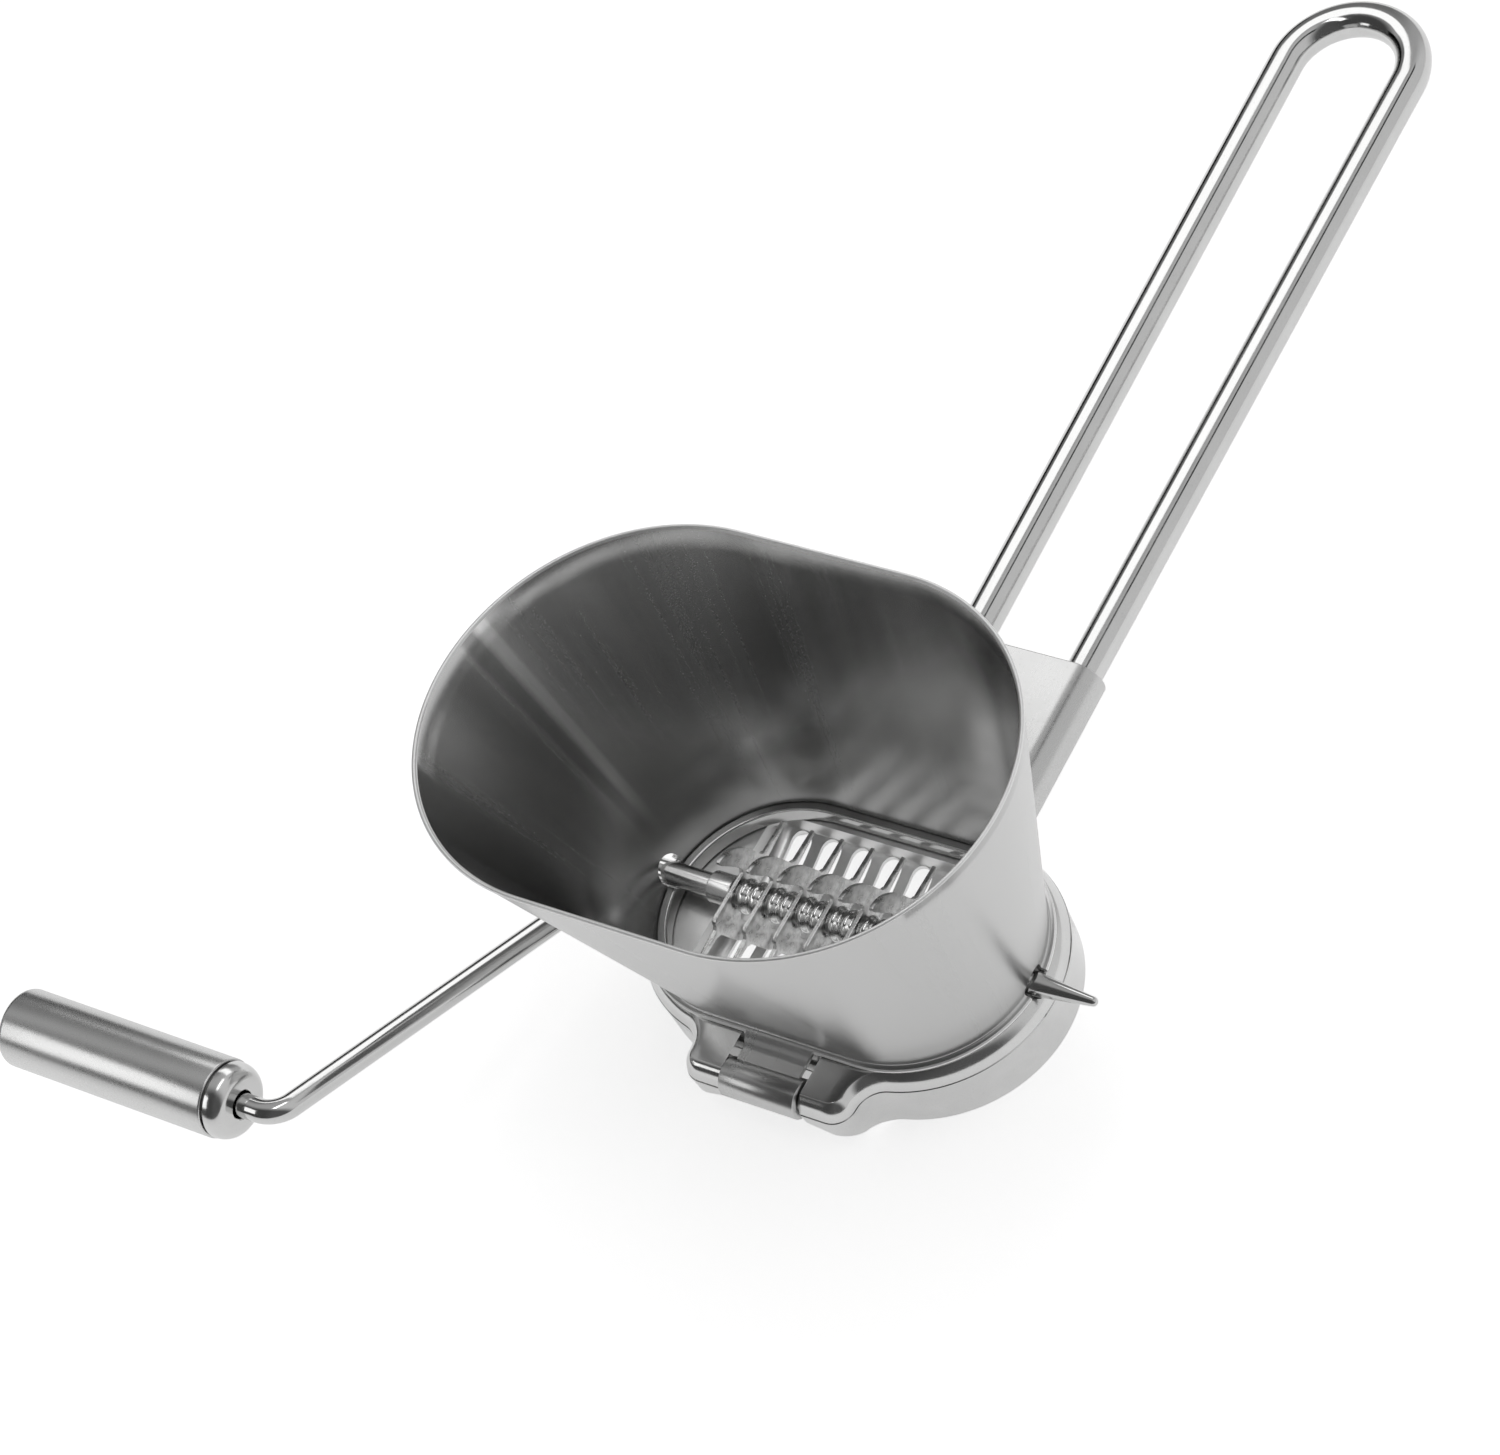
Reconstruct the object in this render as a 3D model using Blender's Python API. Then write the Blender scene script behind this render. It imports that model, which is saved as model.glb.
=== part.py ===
"""Hand-cranked herb mill.

A hopper of thin sheet stands on a pressed base ring and hinges open at the
front.  The crank, its arm, the cutter shaft and the pointed tip are one bent
wire, which lies in the parting line between hopper and ring.  Eight blades
threaded on the shaft sweep through the slots of a comb plate under it.  A
bent-wire handle is held in a flat sleeve behind the ring.

X runs along the cutter shaft with the crank at -X, Y runs back along the
handle and Z is up.  The pieces are drawn about the middle of the ring's foot,
and the whole mill then stands with the origin under the middle of its reach.
"""
import bpy
import bmesh
from math import asin, atan2, cos, pi, radians, sin, sqrt, tan
from mathutils import Matrix, Vector

MM = 0.001

# Clearances
SEAT_GAP = 0.3 * MM
NOTCH_SIDE = 1.1 * MM
NOTCH_LIFT = 1.0 * MM
NOTCH_SWING = 0.5 * MM

# Base ring, a pressing whose plan is two half circles joined by a straight run
RING_RUN = 15.2 * MM
RING_R = 26.2 * MM
RING_DRAFT = 0.4 * MM
RING_CREASE_Z = 9.8 * MM
RING_TOP_Z = 13.3 * MM
RING_WALL = 1.2 * MM
SHOULDER_WIDE = 2.6 * MM
RIM_WIDE = 5.5 * MM
RING_FOOT_R = RING_R - RING_DRAFT
OPENING_R = RING_R - RIM_WIDE
LIP_Z = 10.2 * MM
LIP_ROUND = 0.4 * MM

# Hinge ears of the ring, and the pin between them
EAR_INNER_X = 8.3 * MM
EAR_OUTER_X = 17.6 * MM
EAR_AHEAD = 2.6 * MM
EAR_FOOT_Z = 3.5 * MM
EAR_CORNER_R = 4.2 * MM
EAR_BLEND_R = 5.0 * MM
EAR_SINK = 0.15 * MM
HINGE_OUT = 5.8 * MM
HINGE_Y = RING_R + HINGE_OUT
EAR_FRONT_Y = HINGE_Y + EAR_AHEAD
HINGE_Z = 10.55 * MM
PIN_R = 1.5 * MM
KNUCKLE_R = 3.6 * MM
KNUCKLE_SIDE_GAP = 0.4 * MM
EAR_INNER_FOOT_Z = HINGE_Z - KNUCKLE_R

# Comb plate, pressed into a trough that the blades sweep through
PLATE_THICK = 0.7 * MM
PLATE_REVEAL = 1.1 * MM
TROUGH_HALF = OPENING_R - PLATE_REVEAL
TROUGH_DEPTH = 5.2 * MM
TROUGH_END = 3.0 * MM
TROUGH_PLAN = 0.12
SLOT_WIDE = 4.27 * MM
SLOT_INSET = 0.45 * MM
SLOT_HALF = TROUGH_HALF - SLOT_INSET

# Hopper, a slanted cone of thin sheet over the ring
SHEET = 0.8 * MM
HOPPER_LAP = 2.5 * MM
HOPPER_FOOT_R = OPENING_R + HOPPER_LAP
FLANGE_WIDE = 1.5 * MM
MOUTH_RUN = 17.0 * MM
MOUTH_R = 38.8 * MM
MOUTH_FORWARD = 3.8 * MM
MOUTH_Z = 78.9 * MM
TONGUE_HALF = 6.6 * MM
TONGUE_ROOT_HALF = 7.4 * MM
TONGUE_DIP = 1.1 * MM

# Cutter shaft, crank arm and tip, one bent wire
SHAFT_Z = 14.4 * MM
SHAFT_R = 2.2 * MM
TIP_START_X = 39.1 * MM
TIP_END_X = 51.5 * MM
TIP_END_R = 0.8 * MM
ARM_ROOT_X = 45.3 * MM
ARM_OUT = 17.7 * MM
KNOB_AXIS_Y = 78.35 * MM
KNOB_AXIS_Z = 42.2 * MM
BEND_R = 4.6 * MM

# Cutter: blades and the sleeves that space them
BLADES = 8
BLADE_PITCH = 6.47 * MM
BLADE_THICK = 0.8 * MM
BLADE_REACH = 16.0 * MM
BLADE_TIP = 0.5 * MM
BLADE_ARM = 1.1 * MM
BLADE_HUB_R = 3.0 * MM
HOOK_HIGH = 11.0 * MM
HOOK_ROOT = 8.3 * MM
SPACER_R = 3.3 * MM
SPACER_NECK = 0.5 * MM
COLLAR_R = 2.95 * MM
COLLAR_LONG = 4.9 * MM
TROUGH_BEYOND = 2.5 * MM
TROUGH_RUN = (BLADES - 1) / 2 * BLADE_PITCH + TROUGH_BEYOND

# Knob, a tube with a cap at each end, turning on the crank's end
KNOB_R = 7.2 * MM
KNOB_WALL = 1.0 * MM
KNOB_LENGTH = 51.3 * MM
KNOB_START_X = 70.2 * MM
CAP_SHOW = 3.4 * MM
CAP_PLUG = 4.5 * MM
CAP_ROUND = 3.0 * MM
CAP_DOME = 2.4 * MM
GROOVE = 0.5 * MM
END_SHOW = 2.6 * MM
END_CHAMFER = 1.3 * MM
RETAINER_R = 4.4 * MM
RETAINER_THICK = 1.4 * MM

# Handle, a bent wire in a flat sleeve behind the ring
HANDLE_R = 3.5 * MM
HANDLE_NEAR_HALF = 11.85 * MM
HANDLE_FAR_HALF = 13.1 * MM
HANDLE_END_Y = 219.55 * MM
HANDLE_Z = 5.35 * MM
HANDLE_PITCH = radians(2.3)
SLEEVE_WALL = 1.2 * MM
SLEEVE_LENGTH = 37.5 * MM
SLEEVE_FLARE = 1.2 * MM
SLEEVE_FLARE_RUN = 8.0 * MM

ARC_STEPS = 24
ROUND_STEPS = 24

for old in list(bpy.data.objects):
    bpy.data.objects.remove(old, do_unlink=True)


def finish(name, colour, roughness, metallic=1.0):
    """One Principled material for one piece."""
    material = bpy.data.materials.new(name + "_finish")
    material.use_nodes = True
    shader = material.node_tree.nodes["Principled BSDF"]
    shader.inputs["Base Color"].default_value = (*colour, 1.0)
    shader.inputs["Roughness"].default_value = roughness
    shader.inputs["Metallic"].default_value = metallic
    return material


def add(name, build, colour=(0.62, 0.62, 0.62), roughness=0.3):
    """Turn a bmesh into a named object with smooth faces and sharp edges."""
    bmesh.ops.recalc_face_normals(build, faces=build.faces)
    mesh = bpy.data.meshes.new(name)
    build.to_mesh(mesh)
    build.free()
    mesh.shade_smooth()
    mesh.set_sharp_from_angle(angle=radians(27))
    piece = bpy.data.objects.new(name, mesh)
    bpy.context.collection.objects.link(piece)
    mesh.materials.append(finish(name, colour, roughness))
    return piece


def guide(piece):
    """Mark a piece as a cutter or a guide, which isn't part of the mill."""
    piece.hide_render = True
    piece.display_type = "WIRE"
    return piece


def combine(piece, other, operation):
    """Keep a Boolean on a piece, with the other shape left as a guide."""
    guide(other)
    step = piece.modifiers.new(operation.lower(), "BOOLEAN")
    step.operation = operation
    step.object = other
    step.solver = "EXACT"


def arc(cx, cy, radius, start, end, steps):
    """Points of a circular arc, both ends included."""
    return [(cx + radius * cos(start + (end - start) * i / steps),
             cy + radius * sin(start + (end - start) * i / steps)) for i in range(steps + 1)]


def bend(start, pull, end, steps):
    """Points of a curve drawn from start to end towards a pull point."""
    curve = []
    for i in range(steps + 1):
        t = i / steps
        curve.append(tuple((1 - t) ** 2 * a + 2 * t * (1 - t) * b + t * t * c
                           for a, b, c in zip(start, pull, end)))
    return curve


def stadium(run, radius, steps=ARC_STEPS):
    """Two half circles joined by straight runs along X, counter-clockwise."""
    return (arc(run, 0.0, radius, -pi / 2, pi / 2, steps)
            + arc(-run, 0.0, radius, pi / 2, 3 * pi / 2, steps))


def loft(loops, closed=False, caps=True):
    """Skin equal loops of points, one after the other, into a bmesh."""
    build = bmesh.new()
    rows = [[build.verts.new(point) for point in loop] for loop in loops]
    count = len(rows[0])
    pairs = list(zip(rows, rows[1:]))
    if closed:
        pairs.append((rows[-1], rows[0]))
    for low, high in pairs:
        for i in range(count):
            j = (i + 1) % count
            build.faces.new((low[i], low[j], high[j], high[i]))
    if caps and not closed:
        build.faces.new(rows[0][::-1])
        build.faces.new(rows[-1])
    return build


def lay_flat(outline, z):
    """Set a plan outline at a height."""
    return [(x, y, z) for x, y in outline]


def prism_along_x(outline, x_low, x_high):
    """A side-view outline of (y, z) points drawn out along X."""
    return loft([[(x, y, z) for y, z in outline] for x in (x_low, x_high)])


def turned_along_x(profile, steps=ROUND_STEPS, closed=False):
    """A profile of (x, radius) points turned about a line along X."""
    loops = [[(x, radius * cos(2 * pi * i / steps), radius * sin(2 * pi * i / steps))
              for i in range(steps)] for x, radius in profile]
    return loft(loops, closed=closed)


def swept_wire(path, radii, steps):
    """A round wire along a path, its rings carried along without twist."""
    points = [Vector(point) for point in path]
    loops = []
    side = None
    for i, point in enumerate(points):
        before = points[max(i - 1, 0)]
        after = points[min(i + 1, len(points) - 1)]
        run = ((after - point).normalized() + (point - before).normalized()).normalized()
        if side is None:
            side = run.orthogonal().normalized()
        side = (side - run * side.dot(run)).normalized()
        up = run.cross(side)
        loops.append([point + radii[i] * (side * cos(2 * pi * k / steps) + up * sin(2 * pi * k / steps))
                      for k in range(steps)])
    return loft(loops)


def rounded_corner(before, corner, after, radius, steps):
    """Points of an arc that rounds a corner of a path in space."""
    back = (before - corner).normalized()
    ahead = (after - corner).normalized()
    half = back.angle(ahead) / 2
    centre = corner + (back + ahead).normalized() * radius / sin(half)
    start = corner + back * radius / tan(half) - centre
    axis = start.cross(corner + ahead * radius / tan(half) - centre).normalized()
    turn = pi - 2 * half
    return [centre + Matrix.Rotation(turn * i / steps, 3, axis) @ start for i in range(steps + 1)]


def base_ring():
    """The pressed ring: skirt, shoulder, narrow top, turned-down lip and ears."""
    under = RING_TOP_Z - RING_WALL
    shoulder = shoulder_steps()
    section = [(RING_FOOT_R, 0.0)]
    section += [(RING_R - inset, z) for inset, z in shoulder]
    section += [(OPENING_R + LIP_ROUND * (1 - sin(a)), RING_TOP_Z - LIP_ROUND * (1 - cos(a)))
                for a in (0.0, pi / 6, pi / 3, pi / 2)]
    section += [(OPENING_R, LIP_Z), (OPENING_R + RING_WALL, LIP_Z), (OPENING_R + RING_WALL, under)]
    section += [(RING_R - inset - RING_WALL, z - RING_WALL * inset / SHOULDER_WIDE)
                for inset, z in reversed(shoulder[:-1])]
    section += [(RING_FOOT_R - RING_WALL, 0.0)]
    ring = add("base_ring", loft([lay_flat(stadium(RING_RUN, r), z) for r, z in section], closed=True),
               (0.60, 0.60, 0.60), 0.30)
    for side, word in ((1, "right"), (-1, "left")):
        foot = [(x, y, ear_foot_z(abs(x))) for x, y in ear_outline(0.0, side)]
        ear = add("ear_" + word,
                  loft([foot] + [lay_flat(ear_outline(inset, side), z) for inset, z in shoulder]))
        hollow_levels = [(RING_WALL, EAR_FOOT_Z - MM), (RING_WALL, RING_CREASE_Z),
                         (RING_WALL + SHOULDER_WIDE / 2, under)]
        hollow = add("ear_hollow_" + word,
                     loft([lay_flat(ear_outline(inset, side, RING_WALL), z) for inset, z in hollow_levels]))
        combine(ear, hollow, "DIFFERENCE")
        combine(ring, ear, "UNION")
    seat = EAR_OUTER_X - EAR_CORNER_R
    pin_bore = turned_along_x([(-seat, PIN_R + SEAT_GAP), (seat, PIN_R + SEAT_GAP)])
    pin_bore = add("pin_bore", pin_bore)
    pin_bore.location = (0.0, -HINGE_Y, HINGE_Z)
    combine(ring, pin_bore, "DIFFERENCE")
    reach = RING_RUN + RING_R + MM
    saddle_r = SHAFT_R + SEAT_GAP
    saddle = add("shaft_saddle", turned_along_x([(-reach, saddle_r), (reach, saddle_r)]))
    saddle.location = (0.0, 0.0, SHAFT_Z)
    combine(ring, saddle, "DIFFERENCE")


def shoulder_steps():
    """Inset and height pairs of the rounded shoulder, from the crease to the top."""
    rise = RING_TOP_Z - RING_CREASE_Z
    return bend((0.0, RING_CREASE_Z), (SHOULDER_WIDE / 2, RING_CREASE_Z + 0.8 * rise),
                (SHOULDER_WIDE, RING_TOP_Z), 4)


def ear_foot_z(x):
    """Height of the ear's sloping foot at a distance from the middle."""
    share = min(max((x - EAR_INNER_X) / (EAR_OUTER_X - EAR_INNER_X), 0.0), 1.0)
    return EAR_INNER_FOOT_Z + (EAR_FOOT_Z - EAR_INNER_FOOT_Z) * share


def ear_outline(inset, side, wall=0.0):
    """Plan of one ear, drawn in by an inset and running back into the ring's wall."""
    outer = EAR_OUTER_X - inset
    inner = EAR_INNER_X + wall
    front = EAR_FRONT_Y - inset
    corner = EAR_CORNER_R - min(inset, EAR_CORNER_R / 2)
    blend_x = EAR_OUTER_X + EAR_BLEND_R
    blend_y = EAR_SINK - sqrt((RING_R + EAR_BLEND_R) ** 2 - (blend_x - RING_RUN) ** 2)
    lean = atan2(blend_x - RING_RUN, -blend_y)
    root_y = -(RING_R - inset - RING_WALL / 2)
    points = [(inner, root_y), (inner, -front)]
    points += arc(outer - corner, -front + corner, corner, -pi / 2, 0.0, 6)
    points += arc(blend_x, blend_y, EAR_BLEND_R + inset, pi, pi / 2 + lean, 6)
    last_x, last_y = points[-1]
    points.append((last_x - RING_WALL / 2 * sin(lean), last_y + RING_WALL / 2 * cos(lean)))
    points.append((RING_RUN, root_y))
    return [(side * x, y) for x, y in points]


def hinge_pin():
    """Plain pin through the knuckle and into both ears, hidden by their outer walls."""
    end = EAR_OUTER_X - EAR_CORNER_R - SEAT_GAP
    edge = PIN_R / 5
    half = [(end - edge, PIN_R), (end, PIN_R - edge)]
    outline = [(-x, r) for x, r in reversed(half)] + half
    pin = add("hinge_pin", turned_along_x(outline), (0.55, 0.55, 0.55), 0.25)
    pin.location = (0.0, -HINGE_Y, HINGE_Z)


def comb_plate():
    """The plate under the cutter: flat rim, deep trough, and a slot for each blade."""
    top = LIP_Z - SEAT_GAP
    edge = RING_R - RING_WALL - SEAT_GAP - (RING_R - RING_FOOT_R)
    rim = add("comb_plate", loft([lay_flat(stadium(RING_RUN, edge), z) for z in (top - PLATE_THICK, top)]),
              (0.55, 0.55, 0.55), 0.35)
    combine(rim, add("trough_body", trough_shape(top, PLATE_THICK)), "UNION")
    combine(rim, add("trough_hollow", trough_shape(top, 0.0)), "DIFFERENCE")
    for i in range(BLADES):
        slot = stadium_slot()
        cutter = add(f"slot_{i + 1}", slot)
        cutter.location = (blade_x(i), 0.0, 0.0)
        combine(rim, cutter, "DIFFERENCE")


def trough_shape(top, drop):
    """The trough's inside, or with a drop its outside, as one closed shape."""
    start = top - drop / 2
    loops = []
    for x, share in trough_stations(drop):
        half = TROUGH_HALF * share ** TROUGH_PLAN + drop
        side = trough_profile(half, (TROUGH_DEPTH + drop / 2) * share)
        loop = [(x, y, start + dz) for y, dz in side]
        if not drop:
            loop += [(x, half, top + MM), (x, -half, top + MM)]
        loops.append(loop)
    return loft(loops)


def trough_stations(drop):
    """X positions along the trough, with the share of its depth at each."""
    ends = [(TROUGH_RUN + TROUGH_END * sin(a) + drop, max(cos(a), 0.06)) for a in
            (0.0, pi * 0.15, pi * 0.28, pi * 0.39, pi * 0.47)]
    return [(-x, share) for x, share in reversed(ends)] + ends


def trough_profile(half, deep):
    """Cross-section of the trough from front to back: steep sides, flat bottom."""
    side = [(1.0, 0.0), (0.985, 0.52), (0.965, 0.62), (0.90, 0.73), (0.79, 0.84), (0.66, 0.93), (0.45, 1.0)]
    back = [(half * y, -deep * z) for y, z in side]
    return [(-y, z) for y, z in back] + back[::-1]


def stadium_slot():
    """Cutter for one slot: straight sides and round ends, drawn down through the plate."""
    half_wide = SLOT_WIDE / 2
    outline = [(-y, x) for x, y in stadium(SLOT_HALF - half_wide, half_wide, 8)]
    return loft([lay_flat(outline, z) for z in (0.0, LIP_Z + MM)])


def blade_x(i):
    """Place of blade or slot i along the shaft."""
    return (i - (BLADES - 1) / 2) * BLADE_PITCH


def hopper_loop(level, inset, z=None):
    """Outline of the hopper at a level from 0, the foot, to 1, the mouth."""
    run = RING_RUN + (MOUTH_RUN - RING_RUN) * level
    radius = HOPPER_FOOT_R + (MOUTH_R - HOPPER_FOOT_R) * level - inset
    foot = hopper_foot_z()
    height = foot + (MOUTH_Z - foot) * level if z is None else z
    return [(x, y - MOUTH_FORWARD * level, height) for x, y in stadium(run, radius)]


def hopper_foot_z():
    """Underside of the hopper's flange, seated on the ring."""
    return RING_TOP_Z + SEAT_GAP


def hopper():
    """Sheet cone with a narrow flange, a hinge tongue and a rolled knuckle."""
    foot = hopper_foot_z()
    beyond = 0.05
    inner = [hopper_loop(-beyond, SHEET), hopper_loop(1 + beyond, SHEET)]
    shell = add("hopper", loft([hopper_loop(0.0, 0.0), hopper_loop(1.0, 0.0)]), (0.55, 0.55, 0.55), 0.32)
    flange_plan = stadium(RING_RUN, HOPPER_FOOT_R + FLANGE_WIDE)
    flange = loft([lay_flat(flange_plan, z) for z in (foot, foot + SHEET)])
    combine(shell, add("hopper_flange", flange), "UNION")
    combine(shell, add("hinge_tongue", tongue_shape()), "UNION")
    knuckle = add("knuckle", turned_along_x([(-EAR_INNER_X + KNUCKLE_SIDE_GAP, KNUCKLE_R),
                                             (EAR_INNER_X - KNUCKLE_SIDE_GAP, KNUCKLE_R)]))
    knuckle.location = (0.0, -HINGE_Y, HINGE_Z)
    combine(shell, knuckle, "UNION")
    combine(shell, add("hopper_inside", loft(inner)), "DIFFERENCE")
    pin_hole = PIN_R + SEAT_GAP
    bore = add("knuckle_bore", turned_along_x([(-EAR_INNER_X, pin_hole), (EAR_INNER_X, pin_hole)]))
    bore.location = (0.0, -HINGE_Y, HINGE_Z)
    combine(shell, bore, "DIFFERENCE")
    reach = RING_RUN + RING_R
    combine(shell, add("shaft_notch", prism_along_x(notch_outline(), -reach, reach)), "DIFFERENCE")


def tongue_shape():
    """Strip of the flange that dips over the ring's edge and runs into the knuckle."""
    top = hopper_foot_z() + SHEET
    start_y = -(HOPPER_FOOT_R + FLANGE_WIDE / 3)
    end_y = -HINGE_Y + PIN_R
    dip_y = start_y - 2 * FLANGE_WIDE
    loops = []
    for share in (0.0, 0.12, 0.3, 0.5, 0.7, 0.88, 1.0):
        y = start_y + (end_y - start_y) * share
        fall = min(max((y - start_y - FLANGE_WIDE / 2) / (dip_y - start_y), 0.0), 1.0)
        if y > start_y - FLANGE_WIDE:
            fall = 0.0
        z = top - TONGUE_DIP * fall
        half = TONGUE_ROOT_HALF + (TONGUE_HALF - TONGUE_ROOT_HALF) * min(2 * share, 1.0)
        loops.append([(-half, y, z - SHEET), (half, y, z - SHEET), (half, y, z), (-half, y, z)])
    return loft(loops)


def notch_outline():
    """Side view of the notch that lets the hopper lift off the shaft."""
    low = SHAFT_R + NOTCH_SIDE
    points = [(-low, 0.0), (low + NOTCH_SWING, 0.0)]
    points += arc(NOTCH_SWING / 2, SHAFT_Z + NOTCH_LIFT, low + NOTCH_SWING / 2, 0.0, pi, 12)
    return points


def crank_path():
    """Centre line of the bent wire, from the pointed tip to the knob's end."""
    root = Vector((-ARM_ROOT_X, 0.0, SHAFT_Z))
    corner = Vector((-ARM_ROOT_X - ARM_OUT, -KNOB_AXIS_Y, KNOB_AXIS_Z))
    end = Vector((-knob_end_x() + END_SHOW + SEAT_GAP, corner.y, corner.z))
    tip = Vector((TIP_END_X, 0.0, SHAFT_Z))
    path = [(tip, TIP_END_R * 0.5), (tip - Vector((TIP_END_R * 0.4, 0, 0)), TIP_END_R * 0.9),
            (tip - Vector((TIP_END_R, 0, 0)), TIP_END_R * 1.1),
            (Vector((TIP_START_X, 0.0, SHAFT_Z)), SHAFT_R)]
    path += [(point, SHAFT_R) for point in rounded_corner(tip, root, corner, BEND_R, 8)]
    path += [(point, SHAFT_R) for point in rounded_corner(root, corner, end, BEND_R, 8)]
    path.append((end, SHAFT_R))
    return path


def knob_end_x():
    """Far end of the knob, measured along -X."""
    return KNOB_START_X + KNOB_LENGTH


def crank_shaft():
    """Tip, shaft, arm and knob axle bent from one wire."""
    path = crank_path()
    wire = swept_wire([point for point, _ in path], [radius for _, radius in path], 16)
    add("crank_shaft", wire, (0.60, 0.60, 0.60), 0.18)


def blade_outline():
    """Half of a blade's outline, tip to tip: thin front arm, hub bar, hook, thin rear arm."""
    reach = BLADE_REACH
    hub = BLADE_HUB_R
    high = HOOK_HIGH
    root = HOOK_ROOT
    points = [(-reach, 0.0), (-0.98 * reach, BLADE_TIP), (-1.05 * root, BLADE_ARM)]
    points += bend((-root, 0.5 * hub), (-0.95 * root, hub), (-0.84 * root, hub), 3)
    points += bend((0.28 * root, hub), (0.35 * root, hub), (0.35 * root, 0.36 * high), 3)
    points += [(0.23 * root, 0.55 * high), (0.08 * root, 0.73 * high), (-0.07 * root, 0.91 * high),
               (-0.07 * root, high), (0.20 * root, 0.96 * high)]
    points += bend((0.38 * root, 0.90 * high), (0.66 * root, 0.72 * high), (0.80 * root, 0.44 * high), 4)
    points += [(0.92 * root, 0.22 * high), (root, 0.08 * high), (1.1 * root, 0.02 * high)]
    return points


def cutter():
    """Blades, the sleeves between them and a collar at each end."""
    half = blade_outline()
    outline = half + [(-y, -z) for y, z in half]
    bore_r = SHAFT_R + SEAT_GAP
    sheet = prism_along_x(outline, -BLADE_THICK / 2, BLADE_THICK / 2)
    blade = add("blade_1", sheet, (0.50, 0.50, 0.50), 0.30)
    bore = add("blade_bore", turned_along_x([(-BLADE_THICK, bore_r), (BLADE_THICK, bore_r)], 16))
    combine(blade, bore, "DIFFERENCE")
    long = BLADE_PITCH - BLADE_THICK - 2 * SEAT_GAP
    sleeve = spool_profile(long, SPACER_R, bore_r)
    spacer = add("spacer_1", turned_along_x(sleeve, 18, closed=True), (0.58, 0.58, 0.58), 0.22)
    for i in range(BLADES):
        place_copy(blade, f"blade_{i + 1}", blade_x(i), bore)
        if i < BLADES - 1:
            place_copy(spacer, f"spacer_{i + 1}", blade_x(i) + BLADE_PITCH / 2)
    start = blade_x(BLADES - 1) + BLADE_THICK / 2 + SEAT_GAP
    for side, word in ((-1, "left"), (1, "right")):
        ends = sorted((side * start, side * (start + COLLAR_LONG)))
        collar = turned_along_x(sleeve_profile(*ends, COLLAR_R, bore_r), 20, closed=True)
        add("collar_" + word, collar, (0.58, 0.58, 0.58), 0.22).location = (0.0, 0.0, SHAFT_Z)


def sleeve_profile(x_low, x_high, radius, bore):
    """Section of a short sleeve with rounded outer edges."""
    edge = (radius - bore) * 0.6
    return [(x_low, bore), (x_low, radius - edge), (x_low + edge, radius),
            (x_high - edge, radius), (x_high, radius - edge), (x_high, bore)]


def spool_profile(long, radius, bore):
    """Section of a spacer: a rounded bead at each end and a neck between them."""
    neck = radius - SPACER_NECK
    half = [(0.11, neck), (0.21, radius), (0.38, radius), (0.5, neck)]
    right = [(long * x, r) for x, r in half] + [(long / 2, bore)]
    return [(-x, r) for x, r in reversed(right)] + right


def place_copy(first, name, x, bore=None):
    """Put the first piece, or a copy that shares its mesh, on the shaft at x."""
    piece = first
    if name != first.name:
        piece = bpy.data.objects.new(name, first.data)
        bpy.context.collection.objects.link(piece)
        if bore:
            own_bore = bpy.data.objects.new(name + "_bore", bore.data)
            bpy.context.collection.objects.link(own_bore)
            own_bore.location = (x, 0.0, SHAFT_Z)
            combine(piece, own_bore, "DIFFERENCE")
    elif bore:
        bore.location = (x, 0.0, SHAFT_Z)
    piece.location = (x, 0.0, SHAFT_Z)


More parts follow.
